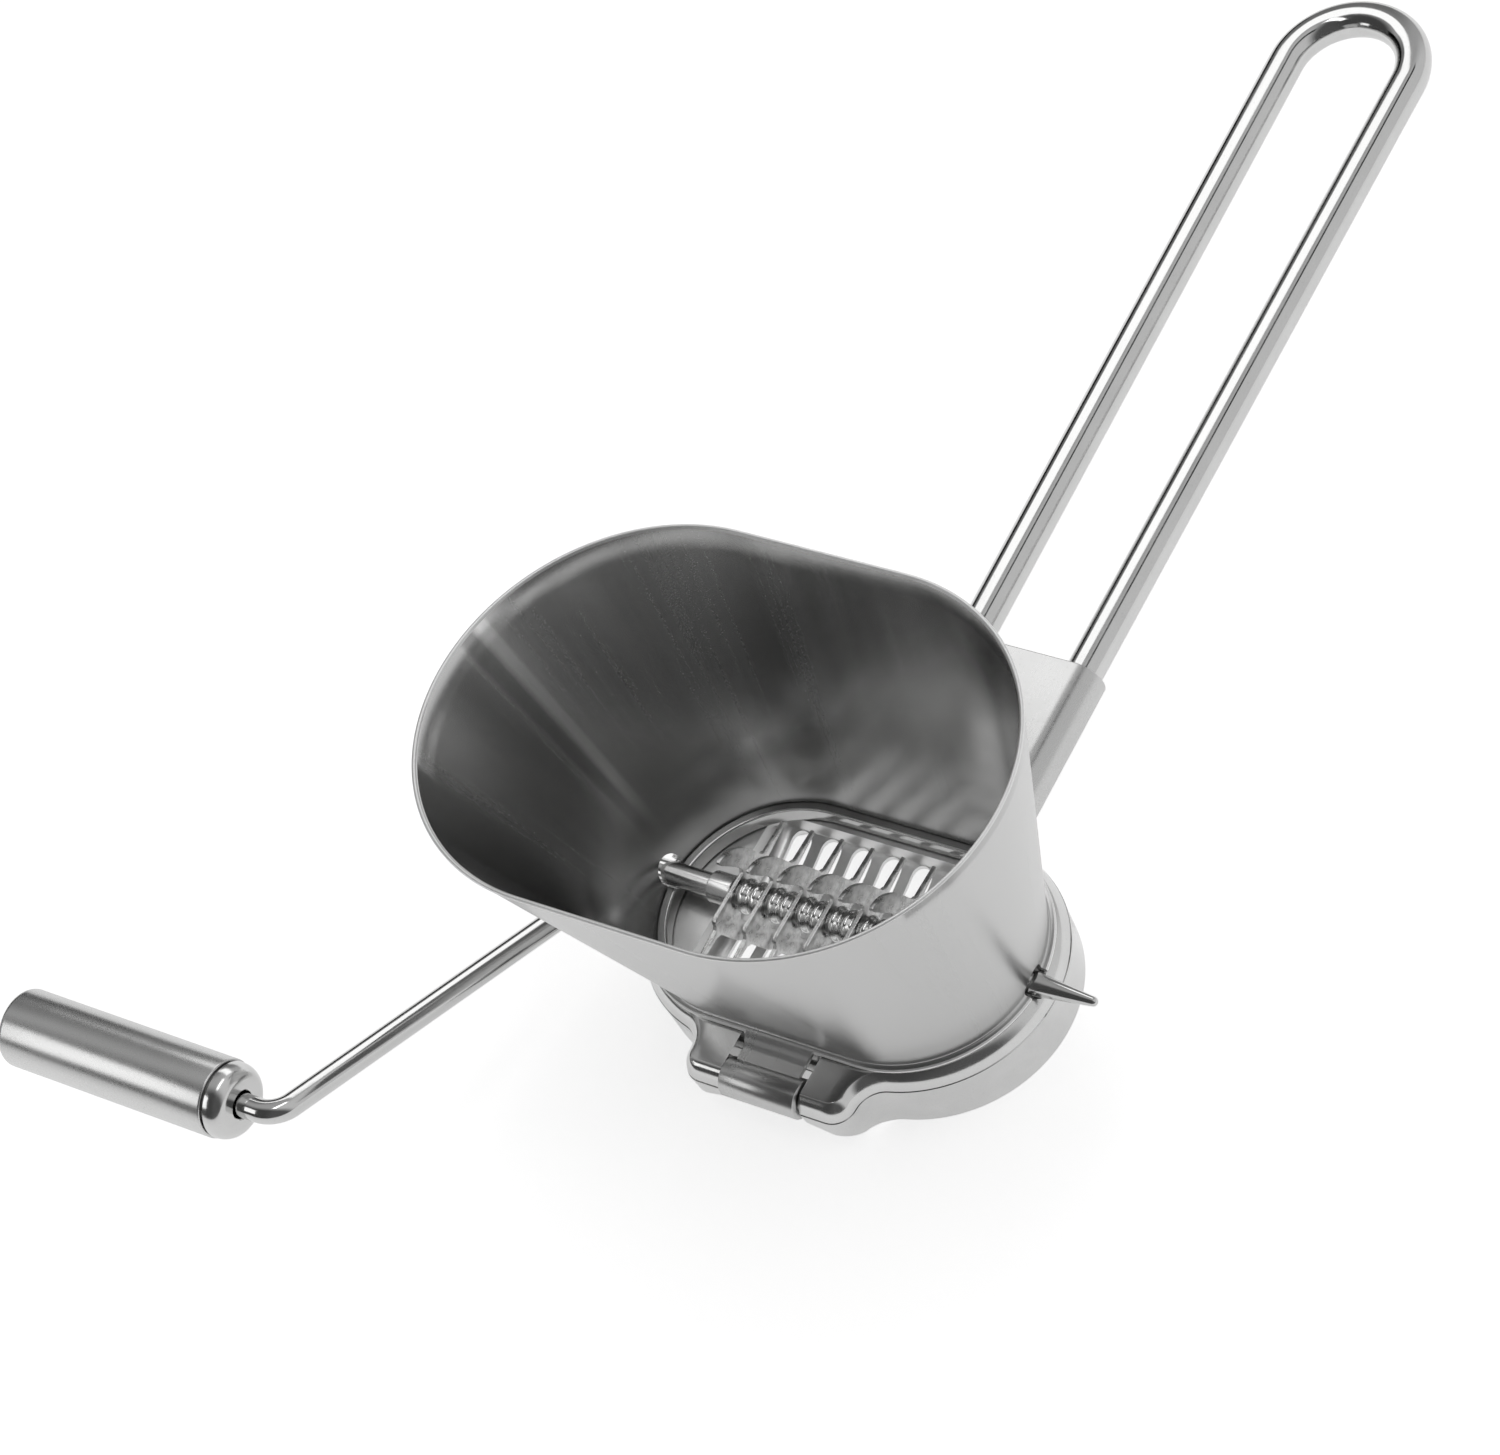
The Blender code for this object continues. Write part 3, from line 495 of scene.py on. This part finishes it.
for side, word in ((-1, "left"), (1, "right")):
    near = side * (blade_places[-1] + BLADE_THICK / 2 + SEAT_GAP)
    far = near + side * COLLAR_LONG
    edge = (COLLAR_R - BORE_R) * 0.75
    outline = [(near, BORE_R), (near, COLLAR_R - COLLAR_EDGE), (near + side * COLLAR_EDGE, COLLAR_R)]
    outline += [(far - side * edge * (1 - sin(a)), COLLAR_R - edge * (1 - cos(a))) for a in quarter(6)]
    outline.append((far, BORE_R))
    collar = shape("collar_" + word + "_sleeve", turned(outline, 56, True), turned_steel)
    fit(collar, "rotor", "turned_steel", "collar_" + word)

# Crank wire
# Tip, cutter shaft, arm and knob axle are one polished steel wire, ground to a point at the right
# and bent twice at the left. It lies in the ring's saddles under the hopper's notches.
TIP_START_X = 39.1
TIP_END_X = 51.5
TIP_END_R = 0.8
ARM_ROOT = Vector((-45.3, 0.0, SHAFT_Z))
ARM_END = Vector((-63.0, -78.35, 42.2))
KNOB_START_X = -70.2
KNOB_END_X = -121.5
END_SHOW = 2.6
BEND_R = 4.6


def round_corner(before, corner, after, radius, steps):
    """Points of an arc that rounds a corner of a path in space."""
    back = (before - corner).normalized()
    ahead = (after - corner).normalized()
    half = back.angle(ahead) / 2
    centre = corner + (back + ahead).normalized() * radius / sin(half)
    start = corner + back * radius / tan(half) - centre
    axis = start.cross(corner + ahead * radius / tan(half) - centre).normalized()
    return [centre + Matrix.Rotation((pi - 2 * half) * i / steps, 3, axis) @ start for i in range(steps + 1)]


def wire(path, steps=48):
    """A round wire along (point, radius) pairs, its rings carried along without twist."""
    loops = []
    side = None
    for i, (point, radius) in enumerate(path):
        before = path[max(i - 1, 0)][0]
        after = path[min(i + 1, len(path) - 1)][0]
        run = ((after - point).normalized() + (point - before).normalized()).normalized()
        if side is None:
            side = run.orthogonal().normalized()
        side = (side - run * side.dot(run)).normalized()
        up = run.cross(side)
        loops.append([point + radius * (side * cos(2 * pi * k / steps) + up * sin(2 * pi * k / steps))
                      for k in range(steps)])
    return skin(loops)


polished_steel = steel("polished_wire", 0.66, 0.10, fine=2.0, depth=0.0006, cloud=0.04, wear=0.06)
tip = Vector((TIP_END_X, 0.0, SHAFT_Z))
wire_end = Vector((KNOB_END_X + END_SHOW + SEAT_GAP, ARM_END.y, ARM_END.z))
path = [(tip - Vector((TIP_END_R * 1.1 * (1 - cos(a)), 0, 0)), max(TIP_END_R * 1.1 * sin(a), 0.05))
        for a in quarter(7)]
path += [(Vector((x, 0.0, SHAFT_Z)), radius)
         for x, radius in ((TIP_START_X + 0.5, SHAFT_R - 0.06), (TIP_START_X - 0.2, SHAFT_R),
                           (30.0, SHAFT_R), (0.0, SHAFT_R), (-30.0, SHAFT_R))]
path += [(point, SHAFT_R) for point in round_corner(tip, ARM_ROOT, ARM_END, BEND_R, 24)]
path += [(ARM_ROOT.lerp(ARM_END, t), SHAFT_R) for t in (0.3, 0.5, 0.7)]
path += [(point, SHAFT_R) for point in round_corner(ARM_ROOT, ARM_END, wire_end, BEND_R, 24)]
path.append((wire_end, SHAFT_R))
fit(shape("crank_wire", wire(path), polished_steel), "rotor", "polished_wire", "crank_shaft", edge=40.0)

# Hopper
# A slanted cone of thin satin sheet, painted darker low down inside as shade, with a painted
# reflection line up one side and a narrow flange at its foot. In front the flange runs on as a
# tongue that is rolled into the knuckle of the hinge.
SHEET = 0.8
FOOT_R = OPENING_R + 2.5
FOOT_Z = RING_TOP_Z + SEAT_GAP
FLANGE_WIDE = 1.5
FLANGE_EDGE = 0.25
FLANGE_FILLET = 0.7
MOUTH_RUN = 17.0
MOUTH_R = 38.8
MOUTH_FORWARD = 3.8
MOUTH_Z = 78.9
TONGUE_HALF = 6.6
TONGUE_ROOT_HALF = 7.4
TONGUE_DIP = 1.1
TONGUE_EDGE = 0.18
KNUCKLE_R = 3.6
KNUCKLE_GAP = 0.4
KNUCKLE_EDGE = ((0.0, 0.3), (0.1, 0.1), (0.3, 0.0))
NOTCH_ROOM = 0.5
NOTCH_NEAR_X = 30.0
NOTCH_FAR_X = 48.0
NOTCH_FOOT_Z = 4.0


def hopper_loop(level, inset, z):
    """Outline of the hopper at a level from 0, the foot, to 1, the mouth."""
    run = RING_RUN + (MOUTH_RUN - RING_RUN) * level
    radius = FOOT_R + (MOUTH_R - FOOT_R) * level - inset
    return [(x, y - MOUTH_FORWARD * level, z) for x, y in stadium(run, radius, 80, 24)]


def wall_loop(level, inset):
    """Outline of the hopper's wall at a level, at the height that belongs to it."""
    return hopper_loop(level, inset, FOOT_Z + (MOUTH_Z - FOOT_Z) * level)


def hopper_steel(name, grey, rough, streaks_and_reflections, painted_low_shade):
    """Satin sheet with grain and soft streaks from foot to mouth, partly painted reflections, and painted
    shade low down.
    """
    finish = Finish(name, {"Metallic": 1.0})
    here = finish.spot()
    across, deep, height = finish.parts(here)
    middle = finish.node("Clamp", {}, {"Value": across, "Min": -RING_RUN, "Max": RING_RUN})
    out = finish.node("CombineXYZ", {}, {"X": across - middle,
                                         "Y": deep + height * (MOUTH_FORWARD / MOUTH_Z)})
    out = finish.node("VectorMath", {"operation": "NORMALIZE"}, {0: out})
    # Two ways round the wall for a painted reflection line: bright along one, dark along the other.
    bright_line_way, dark_line_way = (finish.along(out, (cos(radians(turn)), sin(radians(turn)), 0.0)) for turn in (168.0, 172.0))
    out = finish.node("VectorMath", {"operation": "SCALE"}, {0: out, "Scale": FOOT_R})
    low = finish.node("CombineXYZ", {}, {"X": middle, "Z": height * 0.02})
    foot = finish.node("VectorMath", {"operation": "ADD"}, {0: out, 1: low})
    wide = finish.noise(foot, 0.10, 2.0, 0.6)
    narrow = finish.noise(foot, 1.1, 3.0, 0.6)
    grain = finish.noise(here, 4.5, 2.0, 0.7)
    # Painted reflection: a bright line beside a dark one up the wall, where a light's edge would show.
    painted_reflection_line = (bright_line_way.between(0.9986, 0.9998) - dark_line_way.between(0.9978, 0.9998)) * height.between(18.0, 42.0)
    tone = grey * (1.0 + streaks_and_reflections * (wide - 0.5 + painted_reflection_line) + 0.04 * (narrow - 0.5) + 0.04 * (grain - 0.5))
    # Painted shade: the sheet is painted darker low down, towards the foot.
    tone = tone * (1.0 - painted_low_shade * (1.0 - height.between(20.0, 60.0)))
    finish.feed({"Base Color": finish.grey(tone, (1.0, 1.0, 0.995)),
                 "Roughness": rough + 0.10 * (wide - 0.5) + 0.06 * (narrow - 0.5) + 0.08 * (grain - 0.5),
                 "Normal": finish.bump(0.4 * narrow + 0.5 * grain, 0.0015)})
    return finish


outside_steel = hopper_steel("satin_sheet", 0.62, 0.30, streaks_and_reflections=0.08, painted_low_shade=0.0)
inside_steel = hopper_steel("satin_sheet_inside", 0.74, 0.25, streaks_and_reflections=0.38, painted_low_shade=0.45)
# Painted highlight: the mouth's rounded rim is a near-white steel so that a light line runs round the mouth.
rim_highlight_steel = steel("mouth_rim_painted_highlight", 0.93, 0.46, fine=2.0, depth=0.0008, cloud=0.04, wear=0.05)
# Painted highlight: the flange's rounded edge is near white for the white line along it.
flange_highlight_steel = steel("flange_edge_painted_highlight", 0.95, 0.55, fine=2.0, depth=0.0008, cloud=0.02, wear=0.05)
top_z = FOOT_Z + SHEET
hopper_loops = [hopper_loop(0.0, SHEET, FOOT_Z)]
hopper_loops += [hopper_loop(0.0, inset - FLANGE_WIDE, z) for inset, z in (
    (FLANGE_EDGE, FOOT_Z), (0.0, FOOT_Z + FLANGE_EDGE), (0.0, top_z - FLANGE_EDGE), (FLANGE_EDGE, top_z))]
flange_rows = len(hopper_loops) - 2
for a in quarter(5):
    lift = FLANGE_FILLET * (1 - cos(a))
    level = (SHEET + lift) / (MOUTH_Z - FOOT_Z)
    hopper_loops.append(hopper_loop(level, -FLANGE_FILLET * (1 - sin(a)), top_z + lift))
hopper_loops += [wall_loop(0.03 + 0.962 * k / 14, 0.0) for k in range(1, 15)]
outer_rows = len(hopper_loops) - 1
hopper_loops += [hopper_loop(1.0, SHEET / 2 * (1 - cos(a)), MOUTH_Z - SHEET / 2 * (1 - sin(a)))
                 for a in (pi * k / 6 for k in range(7))]
rim_rows = len(hopper_loops)
hopper_loops += [wall_loop(0.992 * k / 14, SHEET) for k in range(14, 0, -1)]
build = skin(hopper_loops, closed=True)
for i, face in enumerate(build.faces):
    row = i // len(hopper_loops[0])
    face.material_index = 0 if row < outer_rows else 2 if row < rim_rows else 1
    if 1 <= row <= flange_rows:
        face.material_index = 3
hopper = shape("hopper_sheet", build, outside_steel, inside_steel, rim_highlight_steel, flange_highlight_steel)
start_y = -(FOOT_R + FLANGE_WIDE / 3)
end_y = -HINGE_Y + PIN_R
tongue_loops = []
for k in range(25):
    y = start_y + (end_y - start_y) * k / 24
    fall = held((start_y - FLANGE_WIDE / 2 - y) / (2 * FLANGE_WIDE))
    high = top_z - TONGUE_DIP * fall * fall * (3 - 2 * fall)
    low = high - SHEET
    half = TONGUE_ROOT_HALF + (TONGUE_HALF - TONGUE_ROOT_HALF) * min(2 * k / 24, 1.0)
    inner = half - TONGUE_EDGE
    tongue_loops.append([(-half, y, low + TONGUE_EDGE), (-inner, y, low), (inner, y, low),
                         (half, y, low + TONGUE_EDGE), (half, y, high - TONGUE_EDGE), (inner, y, high),
                         (-inner, y, high), (-half, y, high - TONGUE_EDGE)])
join(hopper, shape("tongue", skin(tongue_loops), outside_steel), "UNION")
barrel_end = EAR_INNER_X - KNUCKLE_GAP
barrel = [(inset - barrel_end, KNUCKLE_R - less) for inset, less in KNUCKLE_EDGE]
barrel += [(-x, radius) for x, radius in reversed(barrel)]
join(hopper, shape("knuckle", turned(barrel, 72, False, -HINGE_Y, HINGE_Z), outside_steel), "UNION")
bore_end = EAR_INNER_X + 0.7
bore = [(-bore_end, PIN_R + SEAT_GAP), (bore_end, PIN_R + SEAT_GAP)]
join(hopper, shape("knuckle bore", turned(bore, 40, False, -HINGE_Y, HINGE_Z), outside_steel))
notch_half = SHAFT_R + NOTCH_ROOM
notch = [(-notch_half, NOTCH_FOOT_Z), (notch_half + NOTCH_ROOM, NOTCH_FOOT_Z)]
notch += arc(NOTCH_ROOM / 2, SHAFT_Z + NOTCH_ROOM, notch_half + NOTCH_ROOM / 2, 0.0, pi, 28)
for ends in ((-NOTCH_FAR_X, -NOTCH_NEAR_X), (NOTCH_NEAR_X, NOTCH_FAR_X)):
    join(hopper, shape("notch", skin([[(x, y, z) for y, z in notch] for x in ends]), outside_steel))
fit(hopper, "hopper", "satin_sheet", "hopper", edge=35.0)

# Hinge pin
# A plain steel pin through the knuckle and into both ears; their outer walls hide its ends.
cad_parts["hinge_pin"].material_slots[0].material = turned_steel.material

# Knob
# A brushed steel tube that turns on the crank's end, rounded off round an inset disc at the far
# end. A polished cap with a groove behind it fills the near end, and a washer inside holds it on.
KNOB_R = 7.2
KNOB_WALL = 1.0
CAP_SHOW = 3.4
CAP_PLUG = 4.5
CAP_ROUND = 3.0
CAP_DOME = 2.4
GROOVE = 0.5
END_ROUND = 1.3
DISC_INSET = 0.2
DISC_GAP = 0.4
RETAINER_R = 4.4


def knob_part(name, profile, closed, finish):
    """A piece of the knob, turned about the crank's end."""
    return shape(name, turned(profile, 96, closed, ARM_END.y, ARM_END.z), finish)


tube_in = KNOB_R - KNOB_WALL
plug_r = tube_in - SEAT_GAP
brushed_steel = steel("knob_tube", 0.66, 0.27, fine=5.0, depth=0.003, cloud=0.03, wear=0.02,
                      grain=(2.5, 1.0, 1.0))
cap_steel = steel("knob_cap", 0.68, 0.15, fine=2.0, depth=0.0008, cloud=0.05, wear=0.04)
groove_x = KNOB_START_X - CAP_SHOW
plug_x = groove_x - CAP_PLUG
cap_r = KNOB_R - SEAT_GAP
front_cap = [(KNOB_START_X - 0.15, BORE_R + 0.1), (KNOB_START_X, BORE_R + SEAT_GAP)]
front_cap += [(KNOB_START_X - CAP_ROUND * (1 - cos(a)), cap_r - CAP_DOME * (1 - sin(a))) for a in quarter(12)]
front_cap += [(groove_x + 0.1, cap_r), (groove_x, cap_r - 0.1), (groove_x, plug_r), (plug_x, plug_r),
              (plug_x, BORE_R), (KNOB_START_X - CAP_ROUND, BORE_R)]
fit(knob_part("knob_front_cap_polished", front_cap, True, cap_steel), "knob", "knob_cap", "knob_front_cap")
near_x = groove_x - GROOVE
near_edge = KNOB_WALL / 3
round_r = KNOB_R - END_ROUND
tube = [(near_x, tube_in)]
tube += [(near_x - near_edge * (1 - cos(a)), KNOB_R - near_edge * (1 - sin(a))) for a in quarter(5)]
tube += [(near_x + (KNOB_END_X - near_x) * k / 4, KNOB_R) for k in (1, 2, 3)]
tube += [(KNOB_END_X + END_ROUND * (1 - sin(a)), KNOB_R - END_ROUND * (1 - cos(a))) for a in quarter(8)]
tube += [(KNOB_END_X, round_r - 1.2), (KNOB_END_X + 0.3, round_r - 1.4), (KNOB_END_X + 2.0, tube_in)]
fit(knob_part("knob_tube_brushed", tube, True, brushed_steel), "knob", "knob_tube", "knob_tube")
disc_r = round_r - 1.2 - DISC_GAP
disc_x = KNOB_END_X + DISC_INSET
floor_x = KNOB_END_X + END_SHOW
mouth_x = floor_x + CAP_PLUG
end_cap = [(disc_x, 0.2), (disc_x, disc_r - 0.1), (disc_x + 0.1, disc_r), (KNOB_END_X + 1.6, plug_r - 0.2),
           (mouth_x - 0.2, plug_r), (mouth_x, plug_r - 0.2), (mouth_x, RETAINER_R + SEAT_GAP),
           (floor_x, RETAINER_R + SEAT_GAP), (floor_x, 0.2)]
fit(knob_part("knob_end_cap_chamfered", end_cap, False, brushed_steel), "knob", "knob_tube", "knob_end_cap")
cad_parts["knob_retainer"].material_slots[0].material = turned_steel.material

# Handle
# One polished steel wire bent back on itself. Its two ends lie side by side in a flat sleeve of
# satin sheet that is flared a little and welded to the back of the ring.
HANDLE_R = 3.5
NEAR_HALF = 11.85
FAR_HALF = 13.1
HANDLE_END_Y = 219.55
HANDLE_Z = 5.35
HANDLE_PITCH = radians(2.3)
SLEEVE_WALL = 1.2
SLEEVE_LONG = 37.5
SLEEVE_EDGE = 0.25
SLEEVE_FLARE = 1.2
FLARE_RUN = 8.0
base = Vector((0.0, RING_R + SEAT_GAP + (HANDLE_R + SLEEVE_WALL) * sin(HANDLE_PITCH), HANDLE_Z))
tip_up = Matrix.Rotation(HANDLE_PITCH, 3, "X")
reach = (HANDLE_END_Y - base.y) / cos(HANDLE_PITCH) - HANDLE_R
loop_y = reach - FAR_HALF
spread = asin((FAR_HALF - NEAR_HALF) / loop_y)
near = FAR_HALF / cos(spread) - loop_y * tan(spread)
bow = arc(0.0, loop_y, FAR_HALF, -spread, pi + spread, 72)
flat = line((near, 0.0), bow[0], 6) + bow + line(bow[-1], (-near, 0.0), 6)[1:] + [(-near, 0.0)]
handle_path = [(base + tip_up @ Vector((x, y, 0.0)), HANDLE_R) for x, y in flat]
fit(shape("handle_wire_polished", wire(handle_path, 64), polished_steel), "frame", "polished_wire",
    "handle_wire", edge=40.0)


def sleeve_loop(half, radius, y):
    """Flat round-ended loop of the sleeve at a place along the handle."""
    return [base + tip_up @ Vector((x, y, z)) for x, z in stadium(half, radius, 32, 12)]


sleeve_steel = steel("sleeve_sheet", 0.60, 0.26, fine=4.0, depth=0.002, cloud=0.05, wear=0.05,
                     grain=(1.0, 4.0, 1.0))
inner_r = HANDLE_R + SEAT_GAP
outer_r = inner_r + SLEEVE_WALL
flare = [(FLARE_RUN * k / 10, SLEEVE_FLARE * (1 - k / 10) ** 2) for k in range(11)]
sleeve_loops = [sleeve_loop(near + wide, outer_r, y) for y, wide in flare]
sleeve_loops += [sleeve_loop(near, outer_r - SLEEVE_EDGE * (1 - cos(a)),
                             SLEEVE_LONG - SLEEVE_EDGE * (1 - sin(a))) for a in quarter(4)]
sleeve_loops.append(sleeve_loop(near, inner_r, SLEEVE_LONG))
sleeve_loops += [sleeve_loop(near + wide, inner_r, y) for y, wide in reversed(flare)]
fit(shape("handle_sleeve_satin", skin(sleeve_loops, closed=True), sleeve_steel), "frame", "satin_sheet",
    "handle_sleeve")

# Table and light
# A plain white table in a white studio that is dark at the front. Three soft panels, over handle,
# knob and mouth, make the bright bands on the steel, and two dark cards the streaks between them.
ACROSS = (1.0, 0.0, 0.0)
floor_finish = Finish("white_table", {"Base Color": (0.74, 0.74, 0.74, 1.0), "Roughness": 0.9,
                                      "Emission Strength": 1.0})
by_eye, by_gloss, through = (floor_finish.node("LightPath", {}, {}, "Is " + ray + " Ray")
                             for ray in ("Camera", "Glossy", "Transmission"))
floor_finish.feed({"Emission Color": floor_finish.grey(0.72 * (by_eye + through) + 0.52 * by_gloss)})
build = bmesh.new()
bmesh.ops.create_circle(build, cap_ends=True, segments=96, radius=6.0)
table = shape("table", build, floor_finish)


def board(name, centre, facing, along, width, height, glow):
    """A studio panel or card that only reflections and light see."""
    out = (Vector(facing) - Vector(centre)).normalized()
    side = (Vector(along) - out * Vector(along).dot(out)).normalized()
    up = out.cross(side)
    corners = [Vector(centre) + side * width / 2 * a + up * height / 2 * b
               for a, b in ((-1, -1), (1, -1), (1, 1), (-1, 1))]
    mesh = bpy.data.meshes.new(name)
    mesh.from_pydata([tuple(corner) for corner in corners], [], [(0, 1, 2, 3)])
    skin_of_board = Finish(name, {"Base Color": (0.0, 0.0, 0.0, 1.0), "Roughness": 1.0,
                                  "Specular IOR Level": 0.0, "Emission Color": (1.0, 1.0, 1.0, 1.0),
                                  "Emission Strength": glow})
    mesh.materials.append(skin_of_board.material)
    made = bpy.data.objects.new(name, mesh)
    bpy.context.collection.objects.link(made)
    made.visible_camera = False
    made.visible_shadow = False
    if not glow:
        made.visible_diffuse = False


board("panel_over_handle", (-0.165, 0.235, 0.30), facing=(-0.165, 0.235, 0.0), along=(-0.98, 0.20, 0.0),
      width=0.40, height=0.23, glow=1.5)
board("panel_front_left", (-0.156, -0.250, 0.136), facing=(-0.063, -0.145, 0.042), along=ACROSS,
      width=0.12, height=0.095, glow=1.45)
board("panel_over_mouth", (0.050, -0.050, 0.45), facing=(0.050, -0.050, 0.0), along=ACROSS,
      width=0.07, height=0.26, glow=3.0)
board("card_over_handle", (0.175, 0.23, 0.30), facing=(0.175, 0.23, 0.0), along=ACROSS,
      width=0.05, height=0.30, glow=0.0)
board("card_left", (-0.90, 0.45, 0.17), facing=(0.0, 0.45, 0.17), along=(0.0, 1.0, 0.0),
      width=1.20, height=0.32, glow=0.0)

world = bpy.data.worlds.new("studio")
bpy.context.scene.world = world
world.use_nodes = True


class Studio(Finish):
    """The studio's own nodes, made by the same method as a finish's."""

    def __init__(self, held_world):
        self.tree = held_world.node_tree
        self.shader = self.tree.nodes["Background"]


studio = Studio(world)
aim = studio.node("TexCoord", {}, {}, "Generated")
right, back, _ = studio.parts(aim)
gap = studio.along(aim, (-0.72, 0.66, 0.20)).between(0.70, 0.92)
front = 1.0 - back.between(-0.40, 0.05)
bright = (0.44 + 0.24 * right.between(0.0, 0.5)) * (1.0 - 0.55 * gap) * (1.0 - 0.85 * front)
seen = studio.node("LightPath", {}, {}, "Is Camera Ray")
studio.feed({"Color": studio.grey(bright * (1.0 - seen) + seen), "Strength": 1.0})

# Camera
# It stands high to the right of the crank, with a long lens, and looks down into the mouth.
camera = bpy.data.cameras.new("camera")
camera.sensor_width = 36.0
camera.sensor_fit = "HORIZONTAL"
camera.lens = 116.848
camera.clip_start = 0.05
viewer = bpy.data.objects.new("camera", camera)
bpy.context.collection.objects.link(viewer)
viewer.matrix_world = Matrix(((0.81467, -0.23018, 0.53229, 0.46326),
                              (0.47494, 0.79151, -0.38462, -0.37413),
                              (-0.33278, 0.56615, 0.75415, 0.67994),
                              (0.0, 0.0, 0.0, 1.0)))
bpy.context.scene.camera = viewer
bpy.context.scene.view_settings.view_transform = "Standard"
